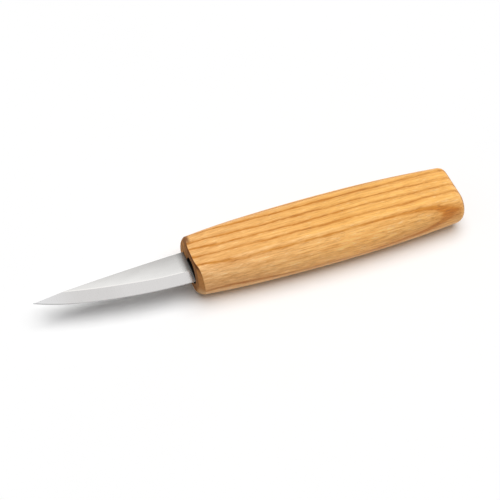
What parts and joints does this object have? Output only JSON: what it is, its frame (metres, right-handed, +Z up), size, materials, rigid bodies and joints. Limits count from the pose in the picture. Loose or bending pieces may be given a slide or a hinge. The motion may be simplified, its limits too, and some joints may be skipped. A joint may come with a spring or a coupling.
{
  "type": "wood carving knife",
  "caption": "Carving knife with a short pointed steel blade, bevelled on both sides, whose tang is glued into a barrel-shaped ash handle with two flat broad faces.",
  "frame": {"origin": "centre of the whole knife's bounding box, on the plane that it lies on", "axes": "+X from the tip to the butt, along the handle; -Y is the cutting edge's side and +Y the spine's; +Z up, square to the flats of the blade"},
  "size_m": [0.17, 0.0298, 0.0178],
  "materials": {
    "steel": "satin ground carbon steel, fine lines square to the edge on the bevels",
    "ash": "oiled ash, straight grain along the handle, soft sheen",
    "epoxy": "cured dark epoxy"
  },
  "bodies": {
    "root": {"blade": "steel", "handle": "ash", "tang_epoxy": "epoxy"}
  },
  "joints": []
}
